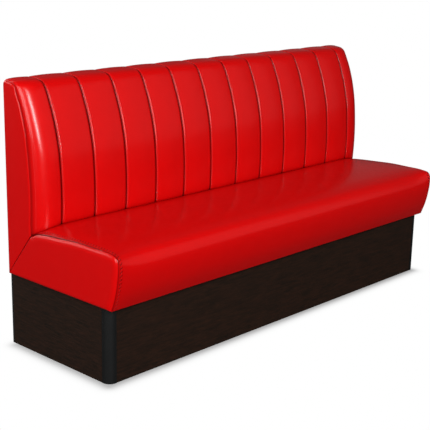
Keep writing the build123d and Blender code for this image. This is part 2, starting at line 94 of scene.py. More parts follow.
# Back cushion
channel_count = 13
end_channel_width = 109 * mm
channel_crown = 9 * mm
top_scallop = 5 * mm
back_foot_reach = 200 * mm
back_top_reach = 75 * mm
back_seam_foot_reach = 150.5 * mm
back_seam_top_reach = 60 * mm
back_end_drop = 7 * mm
back_rear_round = 16 * mm
board_setback = 5.5 * mm
top_crown = 1 * mm
corner_steps = (0, 0.34, 0.67, 1)

# Distances from the cover's edge at the rear, where the crown changes to the top's scallop, where it ends
# and where the grooves grow shallow
crown_wane = (240 * mm, 110 * mm)
crown_end = (50 * mm, 10 * mm)
groove_wane = (130 * mm, 70 * mm)

# Each point of the back's front line, as a share of its height and of its reach
groove_shares = ((0.0, 0.98), (0.232, 1.0), (0.496, 0.92), (0.738, 0.672),
                 (0.945, 0.316), (0.979, 0.184), (0.994, 0.0))
seam_shares = ((0.0, 0.963), (0.159, 1.0), (0.509, 0.862), (0.743, 0.608),
               (0.933, 0.177), (0.9635, 0.116), (0.984, 0.0))

groove_top = back_top - top_scallop
seam_top = back_top - back_end_drop
end_groove_x = half_length - end_channel_width
channel_pitch = end_groove_x * 2 / (channel_count - 2)

# Sewing
side_seam_x = half_length - 8.5 * mm
back_seam_x = half_length - 3.5 * mm
seam_dip = 3 * mm
seam_dip_width = 5 * mm
back_seam_dip = 1.5 * mm
back_seam_dip_width = 5 * mm
groove_depth = 4.5 * mm
crease_depth = 1 * mm
crease_width = 1.8 * mm
shoulder_width = 14 * mm
shoulder_share = 0.5
groove_share_on_top = 0.12
end_round_width = 58 * mm
end_squareness = 2.25
pucker_pitch = 14.6 * mm
back_puckers = {"height": 0.9 * mm, "middle": 6 * mm, "width": 5 * mm, "slant": 1.4}
seat_puckers = {"height": 1.2 * mm, "middle": 12.5 * mm, "width": 4 * mm, "slant": -0.8}

# Where the puckers begin and end along the covers, and how much of them is left beyond
back_fold_start = (180 * mm, 340 * mm)
back_fold_end = (470 * mm, 560 * mm)
back_fold_least = 0.25
side_fold_share = 0.3
seat_fold_start = (40 * mm, 90 * mm)
seat_fold_end = (140 * mm, 60 * mm)
seat_fold_least = 0.4

stitch_pitch = 7.3 * mm
stitch_length = 5.6 * mm
stitch_thickness = 1.5 * mm
groove_stitch_offset = 5 * mm
back_stitch_offset = 5.5 * mm
seat_stitch_offset = 12.5 * mm
back_row_span = (0.03, 0.97)
seat_row_span = (0.03, 1.0)
foot_tuck = 6 * mm
foot_tuck_height = 7 * mm

# Painted shade, put into the leatherette's colour: how dark the creases, seams, pucker valleys and the back's
# foot are painted, and how far from them the darkness reaches
darkest_painted_shade = 0.95
groove_shade_width = 3.5 * mm
groove_shade_on_top = 0.3
back_seam_shade = 0.4
back_seam_shade_width = 1.2 * mm
foot_shades = ((0.6, 4 * mm), (0.35, 14 * mm))
back_fold_shade = 0.7
side_fold_shade = 0.15
seat_seam_shade_width = 2.6 * mm
seat_fold_shade = 3.0
panel_seam_shade = 0.85
panel_seam_shade_width = 0.9 * mm

# Side panels: how wide and how deep each kind of edge rolls off
edge_rolls = {
    "seat_seam": (26 * mm, 10 * mm),
    "back_seam": (10 * mm, 4.5 * mm),
    "mitre": (5 * mm, 2.6 * mm),
    "rear": (9 * mm, 4.5 * mm),
    "hem": (9 * mm, 5 * mm),
}
panel_crown = 1.5 * mm
panel_crown_width = 35 * mm
panel_inset = 1.2 * mm
panel_rear = 0.3 * mm
panel_low = underside - fit_gap
panel_nose_share = 0.35
panel_front_corner = 14 * mm
panel_rear_corner = 5 * mm

# Rear cover
hem_width = 12 * mm
hem_fold_width = 1.5 * mm
hem_fold_depth = 0.8 * mm
hem_rise_width = 6 * mm
rear_cover_bevel = 0.6 * mm
sharp_edge = radians(69)

# Fineness of the meshes, with the distances of their columns from a seam or groove in millimetres
spline_steps = 24
seat_rows = 250
seat_middle_columns = 60
seat_column_steps = (0, 0.5, 1, 1.6, 2.4, 3.4, 4.6, 6, 7.5, 9, 10.5, 12, 14, 16.5, 19, 22, 26, 31, 38, 47, 58,
                     71, 86, 103, 122, 142, 160)
back_column_steps = (0, 0.5, 1, 1.6, 2.3, 3.2, 4.2, 5.4, 6.8, 8.4, 10.5, 13, 16, 20, 26, 35, 47, 62)
back_foot_share, back_foot_rows = 0.02, 6
back_front_share, back_front_rows = 0.86, 215
back_top_rows = 28
board_rows = 9
seat_panel_grid = (110, 64)
back_panel_grid = (60, 150)
straight_points = 40
upright_points = 60


def blend(low, high, share):
    return low + (high - low) * share


def blend_colour(first, second, share):
    return tuple(blend(a, b, share) for a, b in zip(first, second))


# Curves

def arc_through(first, second, third, count):
    """Points of the arc through three profile points, the last one left out."""
    span_b = np.subtract(second, first)
    span_c = np.subtract(third, first)
    size_b, size_c = span_b @ span_b, span_c @ span_c
    twice_area = 2 * (span_b[0] * span_c[1] - span_b[1] * span_c[0])
    across = (span_c[1] * size_b - span_b[1] * size_c) / twice_area
    along = (span_b[0] * size_c - span_c[0] * size_b) / twice_area
    centre = np.array(first) + (across, along)
    turns = np.unwrap([atan2(*(np.array(p) - centre)[::-1]) for p in (first, second, third)])
    swept = np.linspace(turns[0], turns[2], count, endpoint=False)
    return [tuple(centre + sqrt(across ** 2 + along ** 2) * np.array((cos(t), sin(t)))) for t in swept]


def smooth_line(knots):
    """Dense points of the natural cubic spline through the knots."""
    points = np.array(knots, float)
    gaps = np.linalg.norm(np.diff(points, axis=0), axis=1)
    slopes = np.diff(points, axis=0) / gaps[:, None]
    matrix = np.eye(len(points))
    right = np.zeros_like(points)
    for k in range(1, len(points) - 1):
        matrix[k, k - 1:k + 2] = gaps[k - 1], 2 * (gaps[k - 1] + gaps[k]), gaps[k]
        right[k] = 6 * (slopes[k] - slopes[k - 1])
    bends = np.linalg.solve(matrix, right)
    pieces = []
    for k, gap in enumerate(gaps):
        high = np.linspace(0, 1, spline_steps, endpoint=False)[:, None]
        low = 1 - high
        curve = (low ** 3 - low) * bends[k] + (high ** 3 - high) * bends[k + 1]
        pieces.append(low * points[k] + high * points[k + 1] + curve * gap ** 2 / 6)
    return np.vstack(pieces + [points[-1:]])


def running_length(points):
    return np.concatenate([[0], np.cumsum(np.linalg.norm(np.diff(points, axis=0), axis=1))])


def resampled(points, shares):
    """Points at the stated shares of a line's length."""
    length = running_length(points)
    return np.column_stack([np.interp(np.array(shares) * length[-1], length, column) for column in points.T])


def right_normals(points):
    """Unit normals of a profile, to the right of the way it runs when reach is drawn to the right."""
    along = np.gradient(points, axis=0)
    normals = np.column_stack([along[:, 1], -along[:, 0]])
    return normals / np.linalg.norm(normals, axis=1)[:, None]


# Seat profile

def seat_rise(x):
    share = min(1.0, max(0.0, (half_length - abs(x)) / seat_fall_length))
    return 1 - (1 - share) ** seat_fall_power


def seat_profile(rise):
    """The seat's outer line from its rear edge, over the nose, down to its bottom edge."""
    top = blend(seat_top - seat_end_fall, seat_top, rise)
    dip = blend(seat_rear_seam_dip, seat_rear_dip, rise)
    radius = blend(seat_seam_radius, seat_roll_radius, rise)
    lean = radians(blend(seat_seam_lean, seat_roll_lean, rise))
    centre = (nose_reach - radius, top - blend(seat_seam_drop, seat_roll_drop, rise))
    crest = board_foot + seat_crest_share * (nose_reach - board_foot)
    knots = [(blend(board_foot, crest, run), top - dip * blend(at_seam, inside, rise))
             for run, inside, at_seam in seat_dip_shares]
    roll_start = (centre[0] + radius * sin(lean), centre[1] + radius * cos(lean))
    knots.append(((crest + roll_start[0]) / 2, top - (top - roll_start[1]) / 4))
    for share in roll_steps:
        turn = blend(lean, pi / 2, share)
        knots.append((centre[0] + radius * sin(turn), centre[1] + radius * cos(turn)))
    drop = centre[1] - underside
    tuck = nose_reach - seat_bottom_reach
    sweep = (drop ** 2 + tuck ** 2) / (2 * tuck)
    for share in front_steps:
        fall = drop * share
        knots.append((nose_reach - sweep + sqrt(sweep ** 2 - fall ** 2), centre[1] - fall))
    return smooth_line(knots)


def seat_surface(x, reach):
    """Height of the seat's outer surface under the back."""
    line = seat_profile(seat_rise(x))
    rear = line[:np.argmax(line[:, 0] > (board_foot + nose_reach) / 2)]
    return np.interp(reach, rear[:, 0], rear[:, 1])


# Back profile

def back_knots(roundness, inset=0.0):
    """Points up the back's front line, from the line of its end seams at 0 to that of its grooves at 1."""
    knots = []
    for (groove_up, groove_out), (seam_up, seam_out) in zip(groove_shares, seam_shares):
        groove_reach = blend(back_top_reach, back_foot_reach, groove_out)
        groove_height = blend(seat_top, groove_top, groove_up)
        seam_reach = blend(back_seam_top_reach, back_seam_foot_reach, seam_out)
        seam_height = blend(seat_top, seam_top, seam_up)
        reach = blend(seam_reach, groove_reach, roundness) - inset
        knots.append((reach, blend(seam_height, groove_height, roundness)))
    return knots


def back_profile(x, roundness):
    """The back's outer line from its foot on the seat, over the top and down the rear to the frame's top."""
    knots = back_knots(roundness)
    dense = arc_through(knots[0], knots[1], knots[2], 6) + arc_through(knots[2], knots[3], knots[4], 6)
    dense += arc_through(knots[4], knots[5], knots[6], 3) + [knots[6]]
    top = blend(seam_top, groove_top, roundness)
    corner = (back_rear_round, top - back_rear_round)
    dense.append(((knots[6][0] + corner[0]) / 2, (knots[6][1] + top) / 2 + top_crown))
    for share in corner_steps:
        turn = share * pi / 2
        dense.append((corner[0] - back_rear_round * sin(turn), corner[1] + back_rear_round * cos(turn)))
    dense.append((0, frame_top))
    line = smooth_line(dense)
    foot = seat_surface(x, line[0][0]) - fit_gap
    if foot < line[0][1]:
        start = np.array([[line[0][0], foot]])
        return np.vstack([start, line])
    keep = line[:, 1] > foot
    keep[len(line) // 2:] = True
    return line[keep]


def board_profile():
    """The support board's front line, from the frame's top down to the seat's rear edge."""
    knots = [(board_foot, deck_top)] + back_knots(0, board_setback)[:5]
    line = smooth_line([knots[0]] + arc_through(knots[1], knots[2], knots[3], 4) + knots[3:6])
    line = line[line[:, 1] < frame_top]
    return line[::-1]


# Mesh helpers

def new_piece(name, bm, material, smooth=True):
    mesh = bpy.data.meshes.new(name)
    bm.to_mesh(mesh)
    bm.free()
    mesh.materials.append(material)
    if smooth:
        mesh.polygons.foreach_set("use_smooth", [True] * len(mesh.polygons))
    piece = bpy.data.objects.new(name, mesh)
    bpy.context.scene.collection.objects.link(piece)
    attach(piece, "root")
    return piece


def grid_on(points):
    """A sheet of quads whose vertices lie on a table of points, with each vertex's place in the table."""
    columns, rows = points.shape[:2]
    bm = bmesh.new()
    bmesh.ops.create_grid(bm, x_segments=columns - 1, y_segments=rows - 1, size=0.5)
    places = []
    for vert in bm.verts:
        column = round((vert.co.x + 0.5) * (columns - 1))
        row = round((vert.co.y + 0.5) * (rows - 1))
        vert.co = points[column, row]
        places.append((column, row))
    return bm, places


def surface_normals(points):
    """Unit normals of a table of points."""
    across = np.gradient(points, axis=0)
    along = np.gradient(points, axis=1)
    normals = np.cross(across, along)
    return normals / np.linalg.norm(normals, axis=2)[:, :, None]


def smooth_step(values, low, high):
    share = np.clip((values - low) / (high - low), 0, 1)
    return share * share * (3 - 2 * share)


def near_end(length, start, finish):
    """Rises from 0 to 1 between two distances from a line's end."""
    return smooth_step(length, length[-1] - start, length[-1] - finish)


def round_shoulder(distance, width):
    """Rises from 0 at a seam to 1 at the stated width, as a quarter of an ellipse."""
    return np.sqrt(1 - (1 - np.clip(distance / width, 0, 1)) ** 2)


def puckers(distance, length, height, middle, width, slant):
    """Small slanted folds that the thread pulls up beside a seam, and the painted shade of their valleys."""
    wave = np.cos(tau * (length - slant * distance) / pucker_pitch)
    near = np.exp(-((distance - middle) / width) ** 2)
    return height * near * wave, near * np.clip(-wave, 0, 1) ** 2


# Materials

def node_material(name):
    material = bpy.data.materials.new(name)
    material.use_nodes = True
    nodes, links = material.node_tree.nodes, material.node_tree.links
    shader = nodes["Principled BSDF"]
    return material, nodes, links, shader


def texture_node(nodes, links, kind, coordinates, scale=None, stretch=None, **values):
    """A texture on the piece's own coordinates, stretched along its axes where asked."""
    source = coordinates.outputs["Object"]
    if stretch:
        mapping = nodes.new("ShaderNodeMapping")
        mapping.inputs["Scale"].default_value = stretch
        links.new(source, mapping.inputs["Vector"])
        source = mapping.outputs["Vector"]
    node = nodes.new(kind)
    links.new(source, node.inputs["Vector"])
    if scale:
        node.inputs["Scale"].default_value = scale
    for key, value in values.items():
        node.inputs[key].default_value = value
    return node


def colour_ramp(nodes, links, source, stops):
    ramp = nodes.new("ShaderNodeValToRGB")
    elements = ramp.color_ramp.elements
    while len(elements) < len(stops):
        elements.new(0.5)
    for element, (place, colour) in zip(elements, stops):
        element.position = place
        element.color = (*colour, 1)
    links.new(source, ramp.inputs["Fac"])
    return ramp.outputs["Color"]


def bumped(nodes, links, shader, layers):
    """Chains height layers, each a source with its depth and its strength, into the shader's normal."""
    normal = None
    for source, depth, strength in layers:
        bump = nodes.new("ShaderNodeBump")
        bump.inputs["Distance"].default_value = depth
        bump.inputs["Strength"].default_value = strength
        links.new(source, bump.inputs["Height"])
        if normal:
            links.new(normal, bump.inputs["Normal"])
        normal = bump.outputs["Normal"]
    links.new(normal, shader.inputs["Normal"])


def mixed(nodes, links, factor, first, second):
    mix = nodes.new("ShaderNodeMix")
    mix.data_type = "RGBA"
    links.new(factor, mix.inputs["Factor"])
    for socket, colour in ((mix.inputs["A"], first), (mix.inputs["B"], second)):
        if isinstance(colour, tuple):
            socket.default_value = (*colour, 1)
        else:
            links.new(colour, socket)
    return mix.outputs["Result"]


def leatherette(name, red):
    """Coated fabric: a fine pebbled grain, slight clouds of colour, and shade painted into creases, seams and
    folds from a mesh attribute, which also thins the coat there.
    """
    material, nodes, links, shader = node_material(name)
    coordinates = nodes.new("ShaderNodeTexCoord")
    clouds = texture_node(nodes, links, "ShaderNodeTexNoise", coordinates, scale=18.0, Detail=2.0)
    darker = tuple(channel * 0.975 for channel in red)
    colour = colour_ramp(nodes, links, clouds.outputs["Fac"], ((0.35, darker), (0.65, red)))
    # Painted shade: a mesh attribute darkens the colour towards a near-black red in the creases, seams,
    # pucker valleys and at the back's foot
    painted_crease_shade = nodes.new("ShaderNodeAttribute")
    painted_crease_shade.attribute_name = "painted_crease_shade"
    colour = mixed(nodes, links, painted_crease_shade.outputs["Fac"], colour, (0.05, 0.0, 0.0))
    links.new(colour, shader.inputs["Base Color"])
    gloss = texture_node(nodes, links, "ShaderNodeTexNoise", coordinates, scale=55.0, Detail=2.0)
    spread = nodes.new("ShaderNodeMapRange")
    spread.inputs["To Min"].default_value = 0.33
    spread.inputs["To Max"].default_value = 0.45
    links.new(gloss.outputs["Fac"], spread.inputs["Value"])
    links.new(spread.outputs["Result"], shader.inputs["Roughness"])
    shader.inputs["Specular IOR Level"].default_value = 0.12
    shader.inputs["Specular Tint"].default_value = (1.0, 0.38, 0.35, 1)
    shader.inputs["Coat Roughness"].default_value = 0.23
    glaze = nodes.new("ShaderNodeMapRange")
    glaze.inputs["To Min"].default_value = 0.6
    glaze.inputs["To Max"].default_value = 0.1
    links.new(painted_crease_shade.outputs["Fac"], glaze.inputs["Value"])
    links.new(glaze.outputs["Result"], shader.inputs["Coat Weight"])
    pebbles = texture_node(nodes, links, "ShaderNodeTexVoronoi", coordinates, scale=720.0)
    wrinkles = texture_node(nodes, links, "ShaderNodeTexNoise", coordinates, scale=340.0, Detail=4.0)
    waves = texture_node(nodes, links, "ShaderNodeTexNoise", coordinates, scale=14.0, Detail=1.0)
    bumped(nodes, links, shader, (
        (waves.outputs["Fac"], 1.6 * mm, 0.25),
        (wrinkles.outputs["Fac"], 0.2 * mm, 0.28),
        (pebbles.outputs["Distance"], 0.15 * mm, 0.2),
    ))
    return material


def thread(name, colour):
    """Twisted thread, lighter where its fibres stand up."""
    material, nodes, links, shader = node_material(name)
    coordinates = nodes.new("ShaderNodeTexCoord")
    fibres = texture_node(nodes, links, "ShaderNodeTexNoise", coordinates, scale=900.0, Detail=2.0)
    light = tuple(min(1, channel * 1.4 + 0.01) for channel in colour)
    links.new(colour_ramp(nodes, links, fibres.outputs["Fac"], ((0.3, colour), (0.7, light))),
              shader.inputs["Base Color"])
    shader.inputs["Roughness"].default_value = 0.55
    bumped(nodes, links, shader, ((fibres.outputs["Fac"], 0.2 * mm, 0.6),))
    return material


def streaked_wood(name, dark, light, stretch, roughness, spread=(0.35, 0.7), coarse=1.0, shine=0.4):
    """Straight grain: fine streaks over broader bands, both drawn out along the board."""
    material, nodes, links, shader = node_material(name)
    coordinates = nodes.new("ShaderNodeTexCoord")
    bands = texture_node(nodes, links, "ShaderNodeTexNoise", coordinates, 0.35 * coarse, stretch,
                         Detail=4.0, Distortion=0.4)
    streaks = texture_node(nodes, links, "ShaderNodeTexNoise", coordinates, 1.6, stretch,
                           Detail=6.0, Roughness=0.7)
    band_stops = ((0.3, dark), (0.75, blend_colour(dark, light, 0.45)))
    base = colour_ramp(nodes, links, bands.outputs["Fac"], band_stops)
    factor = nodes.new("ShaderNodeMapRange")
    factor.inputs["From Min"].default_value = spread[0]
    factor.inputs["From Max"].default_value = spread[1]
    links.new(streaks.outputs["Fac"], factor.inputs["Value"])
    links.new(mixed(nodes, links, factor.outputs["Result"], base, light), shader.inputs["Base Color"])
    shader.inputs["Roughness"].default_value = roughness
    shader.inputs["Specular IOR Level"].default_value = shine
    bumped(nodes, links, shader, ((streaks.outputs["Fac"], 0.1 * mm, 0.5),))
    return material


def satin(name, colour, roughness, grain=1500.0, metallic=0.0):
    """A plain satin finish with a very fine texture and slight patches of lighter colour."""
    material, nodes, links, shader = node_material(name)
    coordinates = nodes.new("ShaderNodeTexCoord")
    speckle = texture_node(nodes, links, "ShaderNodeTexNoise", coordinates, scale=grain, Detail=2.0)
    patches = texture_node(nodes, links, "ShaderNodeTexNoise", coordinates, scale=30.0, Detail=3.0)
    light = tuple(min(1, channel * 1.25) for channel in colour)
    links.new(colour_ramp(nodes, links, patches.outputs["Fac"], ((0.3, colour), (0.8, light))),
              shader.inputs["Base Color"])
    shader.inputs["Roughness"].default_value = roughness
    shader.inputs["Metallic"].default_value = metallic
    bumped(nodes, links, shader, ((speckle.outputs["Fac"], 0.1 * mm, 0.4),))
    return material


def woven(name, colour, thread_count):
    """A thin cloth of crossing threads."""
    material, nodes, links, shader = node_material(name)
    coordinates = nodes.new("ShaderNodeTexCoord")
    layers = []
    for direction in ("X", "Z"):
        wave = texture_node(nodes, links, "ShaderNodeTexWave", coordinates, scale=thread_count)
        wave.bands_direction = direction
        layers.append((wave.outputs["Fac"], 0.2 * mm, 0.5))
    patches = texture_node(nodes, links, "ShaderNodeTexNoise", coordinates, scale=40.0, Detail=4.0)
    light = tuple(min(1, channel * 1.6 + 0.004) for channel in colour)
    links.new(colour_ramp(nodes, links, patches.outputs["Fac"], ((0.3, colour), (0.75, light))),
              shader.inputs["Base Color"])
    shader.inputs["Roughness"].default_value = 0.9
    bumped(nodes, links, shader, layers)
    return material


# A wood's colours are those of its dark bands and its light streaks, and a high number in its stretch
# makes the grain fine along that axis.
wenge_colours = ((0.0064, 0.0039, 0.0022), (0.037, 0.0135, 0.007))
black_colours = ((0.004, 0.004, 0.004), (0.012, 0.011, 0.010))
birch_colours = ((0.42, 0.27, 0.13), (0.62, 0.44, 0.24))
pine_colours = ((0.46, 0.28, 0.12), (0.68, 0.47, 0.24))

leather = leatherette("red_leatherette", (0.57, 0.0007, 0.0009))
red_thread = thread("red_thread", (0.5, 0.004, 0.005))
wenge = streaked_wood("wenge_laminate", *wenge_colours, (20.0, 20.0, 240.0), 0.55,
                      spread=(0.5, 0.85), coarse=2.0, shine=0.2)
black_board = streaked_wood("black_board", *black_colours, (1.6, 1.6, 150.0), 0.5)
profile_black = satin("black_profile", (0.0048, 0.005, 0.005), 0.36)
plywood = streaked_wood("birch_plywood", *birch_colours, (3.0, 3.0, 60.0), 0.6)
ply_across = streaked_wood("birch_deck", *birch_colours, (3.0, 60.0, 60.0), 0.6)
pine = streaked_wood("pine_timber", *pine_colours, (2.0, 50.0, 50.0), 0.6)
hardboard = satin("hardboard", (0.10, 0.045, 0.02), 0.6, 700.0)
cambric = woven("black_cambric", (0.008, 0.008, 0.008), 350.0)
zinc = satin("zinc_steel", (0.5, 0.51, 0.54), 0.32, 900.0, 1.0)


# Seat cushion

def seat_columns():
    """Places along the bench: close together beside the side seams, far apart between."""
    left = -side_seam_x + np.array(seat_column_steps) * mm
    middle = np.linspace(left[-1], -left[-1], seat_middle_columns)[1:-1]
    return np.concatenate([left, middle, -left[::-1]])


def seat_surface_points(columns):
    """The seat cover's visible surface, with its dip at the side seams and the puckers beside them."""
    shares = np.linspace(0, 1, seat_rows)
    points, painted_crease_shade = [], []
    for x in columns:
        line = resampled(seat_profile(seat_rise(x)), shares)
        length = running_length(line)
        inward = side_seam_x - abs(x)
        offset = seam_dip * (round_shoulder(inward, seam_dip_width) - 1) * np.ones(seat_rows)
        fade = smooth_step(length, *seat_fold_start) * (1 - near_end(length, *seat_fold_end))
        fade = blend(seat_fold_least, 1, fade)
        folds, painted_valley_shade = puckers(inward, length, **seat_puckers)
        offset += folds * fade
        waves = np.sin(x * seat_sag_waves[0] + seat_sag_shift) * np.sin(length * seat_sag_waves[1])
        offset += seat_sag * waves * smooth_step(inward, *seat_sag_start)
        moved = line - right_normals(line) * offset[:, None]
        points.append(np.column_stack([np.full(seat_rows, x), rear_y - moved[:, 0], moved[:, 1]]))
        # Painted shade along the side seam and in the puckers' valleys
        dark = darkest_painted_shade * np.exp(-inward / seat_seam_shade_width) + seat_fold_shade * painted_valley_shade * fade
        painted_crease_shade.append(np.clip(dark, 0, darkest_painted_shade))
    return np.array(points), np.array(painted_crease_shade)


def hidden_seat_corners():
    """The cushion's hidden outline: the edge turned under, the front rail, the deck and the rear edge."""
    low = underside - cover_thickness
    inner = seat_bottom_reach - turn_under
    return [
        (seat_bottom_reach - fit_gap, low), (inner, low), (inner, underside),
        (rail_front, underside + fit_gap), (rail_front, deck_top), (board_foot, deck_top),
    ]


def closed_cushion(name, visible, painted_crease_shade, hidden):
    """Closes a visible surface with hidden sides behind it and a cap at each end."""
    columns = len(visible)
    extra = np.zeros((columns, len(hidden), 3))
    extra[:, :, 0] = visible[:, :1, 0]
    extra[:, :, 1] = rear_y - np.array([reach for reach, height in hidden])
    extra[:, :, 2] = [height for reach, height in hidden]
    table = np.concatenate([visible, extra, visible[:, :1]], axis=1)
    bm, places = grid_on(table)
    # Painted shade of every vertex, kept in a mesh attribute; the hidden sides get none
    painted_shade_table = np.concatenate([painted_crease_shade, np.zeros((columns, len(hidden))), painted_crease_shade[:, :1]], axis=1)
    layer = bm.verts.layers.float.new("painted_crease_shade")
    for vert, place in zip(bm.verts, places):
        vert[layer] = painted_shade_table[place]
    bmesh.ops.remove_doubles(bm, verts=bm.verts, dist=1e-6)
    edges = [edge for edge in bm.edges if edge.is_boundary]
    bmesh.ops.holes_fill(bm, edges=edges, sides=0)
    bmesh.ops.recalc_face_normals(bm, faces=bm.faces)
    return new_piece(name, bm, leather)


def make_seat_cushion():
    columns = seat_columns()
    visible, painted_crease_shade = seat_surface_points(columns)
    piece = closed_cushion("seat_cushion", visible, painted_crease_shade, hidden_seat_corners())
    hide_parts("seat_cover_top", "seat_foam_top", "seat_foam_nose", "seat_foam_base")
    return columns, visible


# Back cushion

def back_columns():
    """Places across the back: close together at every groove and at the side seams."""
    half = np.array(back_column_steps) * mm
    channel = np.concatenate([half, [channel_pitch / 2], channel_pitch - half[:0:-1]])
    end_width = back_seam_x - end_groove_x
    end = np.concatenate([half[:-1], end_width - half[-2::-1]])
    right = end_groove_x + end
    places = [-right[::-1]]
    for number in range(channel_count - 2):
        places.append(-end_groove_x + channel_pitch * number + channel)
    places.append(right)
    return np.unique(np.round(np.concatenate(places), 7))


def channel_lift(distance):
    """How far a channel has risen at a distance from its groove: a tight shoulder, then a slight crown."""
    crown = 1 - (1 - min(1, distance / (channel_pitch / 2))) ** 2
    return blend(crown, round_shoulder(distance, shoulder_width), shoulder_share)


def back_shape(x):
    """How round the back is at a place along it, its channel's lift there and the distance to the groove."""
    distance = abs(x) - end_groove_x
    if distance > 0:
        run = distance / (back_seam_x - end_groove_x)
        lift = channel_lift(distance) * round_shoulder(back_seam_x - abs(x), end_round_width)
        return max(0, 1 - run ** end_squareness) ** (1 / end_squareness), lift, distance
    along = (x + end_groove_x) % channel_pitch
    distance = min(along, channel_pitch - along)
    return 1.0, channel_lift(distance), distance


def back_rows():
    """Shares of the profile's length: fine over the front, coarser over the top and the rear."""
    foot = np.linspace(0, back_foot_share, back_foot_rows)
    front = np.linspace(back_foot_share, back_front_share, back_front_rows)[1:]
    top_and_rear = np.linspace(back_front_share, 1, back_top_rows)[1:]
    return np.concatenate([foot, front, top_and_rear])


def back_surface_points(columns):
    """The back cover's visible surface: channels, sewn grooves, puckers and the tuck behind the seat."""
    shares = back_rows()
    points, painted_crease_shade = [], []
    for x in columns:
        roundness, lift, distance = back_shape(x)
        line = resampled(back_profile(x, roundness), shares)
        length = running_length(line)
        inward = back_seam_x - abs(x)
        crown = blend(channel_crown, top_scallop, near_end(length, *crown_wane))
        offset = crown * (1 - near_end(length, *crown_end)) * lift
        on_front = 1 - near_end(length, *groove_wane)
        groove = groove_depth * (1 - round_shoulder(distance, shoulder_width))
        groove += crease_depth * np.exp(-(distance / crease_width) ** 2)
        offset -= groove * blend(groove_share_on_top, 1, on_front)
        offset -= back_seam_dip * (1 - round_shoulder(inward, back_seam_dip_width))
        upper = smooth_step(length, *back_fold_start) * (1 - smooth_step(length, *back_fold_end))
        upper = blend(back_fold_least, 1, upper)
        folds, painted_valley_shade = puckers(distance, length, **back_puckers)
        side_folds, painted_side_valley_shade = puckers(inward, length, **back_puckers)
        offset += (folds + side_fold_share * side_folds) * upper
        offset -= foot_tuck * np.exp(-length / foot_tuck_height)
        moved = line + right_normals(line) * offset[:, None]
        points.append(np.column_stack([np.full(len(shares), x), rear_y - moved[:, 0], moved[:, 1]]))
        # Painted shade in the grooves, along the side seams, at the back's foot on the seat and in the
        # puckers' valleys
        dark = darkest_painted_shade * np.exp(-(distance / groove_shade_width) ** 2)
        dark = dark * blend(groove_shade_on_top, 1, on_front)
        dark = dark + back_seam_shade * np.exp(-inward / back_seam_shade_width)
        for shade, height in foot_shades:
            dark = dark + shade * np.exp(-length / height)
        dark = dark + (back_fold_shade * painted_valley_shade + side_fold_shade * painted_side_valley_shade) * upper
        painted_crease_shade.append(np.clip(dark, 0, darkest_painted_shade))
    return np.array(points), np.array(painted_crease_shade)


def hidden_back_corners():
    """The back's hidden outline: over the frame's top and down the support board to the seat's rear edge."""
    gap = fit_gap / 2
    board = resampled(board_profile(), np.linspace(0, 1, board_rows))
    path = [(gap, frame_top + gap), (board[0][0], frame_top + gap)]
    path += [tuple(point) for point in board if point[1] > seat_top - seat_rear_dip]
    return path + [(board_foot + gap, seat_top - seat_rear_seam_dip - seat_end_fall)]


def make_back_cushion():
    columns = back_columns()
    visible, painted_crease_shade = back_surface_points(columns)
    piece = closed_cushion("back_cushion", visible, painted_crease_shade, hidden_back_corners())
    pads = [f"back_channel_pad_{number + 1:02d}" for number in range(channel_count)]
    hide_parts("back_cover_front", *pads)
    return columns, visible


# Side panels

def patch(bottom, right, top, left, columns, rows):
    """A four-sided sheet between four lines, with its rows and columns close together at its edges."""
    def eased(count):
        return (1 - np.cos(np.linspace(0, pi, count))) / 2

    u, v = eased(columns), eased(rows)
    low, high = resampled(bottom, u), resampled(top, u)
    start, end = resampled(left, v), resampled(right, v)
    u, v = u[:, None, None], v[None, :, None]
    ruled = (1 - v) * low[:, None] + v * high[:, None] + (1 - u) * start[None] + u * end[None]
    corners = (1 - u) * (1 - v) * low[0] + u * (1 - v) * low[-1] + (1 - u) * v * high[0] + u * v * high[-1]
    return ruled - corners


def distance_to(line, points):
    """Distance of each point from a line of points."""
    starts, ends = line[:-1], line[1:]
    along = ends - starts
    size = (along ** 2).sum(1)
    flat = points.reshape(-1, 2)
    share = np.clip(((flat[:, None] - starts) * along).sum(2) / size, 0, 1)
    nearest = starts + share[:, :, None] * along
    return np.sqrt(((flat[:, None] - nearest) ** 2).sum(2)).min(1).reshape(points.shape[:2])


def side_panel(name, lines, rolls, grid, sign, replaced):
    """A side panel of cover and wadding: flat, with rolled edges that dip into its seams."""
    table = patch(*lines, *grid)
    offset = np.zeros(table.shape[:2])
    painted_crease_shade = np.zeros(table.shape[:2])
    nearest = np.full(table.shape[:2], np.inf)
    for line, kind in zip(lines, rolls):
        width, depth = edge_rolls[kind]
        distance = distance_to(line, table)
        nearest = np.minimum(nearest, distance)
        offset = np.minimum(offset, depth * (round_shoulder(distance, width) - 1))
        # Painted shade along the panel's sewn edges, kept in a mesh attribute
        if kind != "hem":
            painted_crease_shade = np.maximum(painted_crease_shade, panel_seam_shade * np.exp(-distance / panel_seam_shade_width))
    offset = offset + panel_crown * (1 - np.exp(-nearest / panel_crown_width))
    points = np.empty((*offset.shape, 3))
    points[:, :, 0] = sign * (half_length + offset)
    points[:, :, 1] = rear_y - table[:, :, 0]
    points[:, :, 2] = table[:, :, 1]
    bm, places = grid_on(points)
    layer = bm.verts.layers.float.new("painted_crease_shade")
    for vert, place in zip(bm.verts, places):
        vert[layer] = painted_crease_shade[place]
    edges = [edge for edge in bm.edges if edge.is_boundary]
    skirt = bmesh.ops.extrude_edge_only(bm, edges=edges)["geom"]
    for vert in (v for v in skirt if isinstance(v, bmesh.types.BMVert)):
        vert.co.x = sign * (core_half - fit_gap)
    edges = [edge for edge in bm.edges if edge.is_boundary]
    bmesh.ops.holes_fill(bm, edges=edges, sides=0)
    bmesh.ops.recalc_face_normals(bm, faces=bm.faces)
    piece = new_piece(name, bm, leather)
    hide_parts(*replaced)


def straight(first, second):
    return np.linspace(first, second, straight_points)


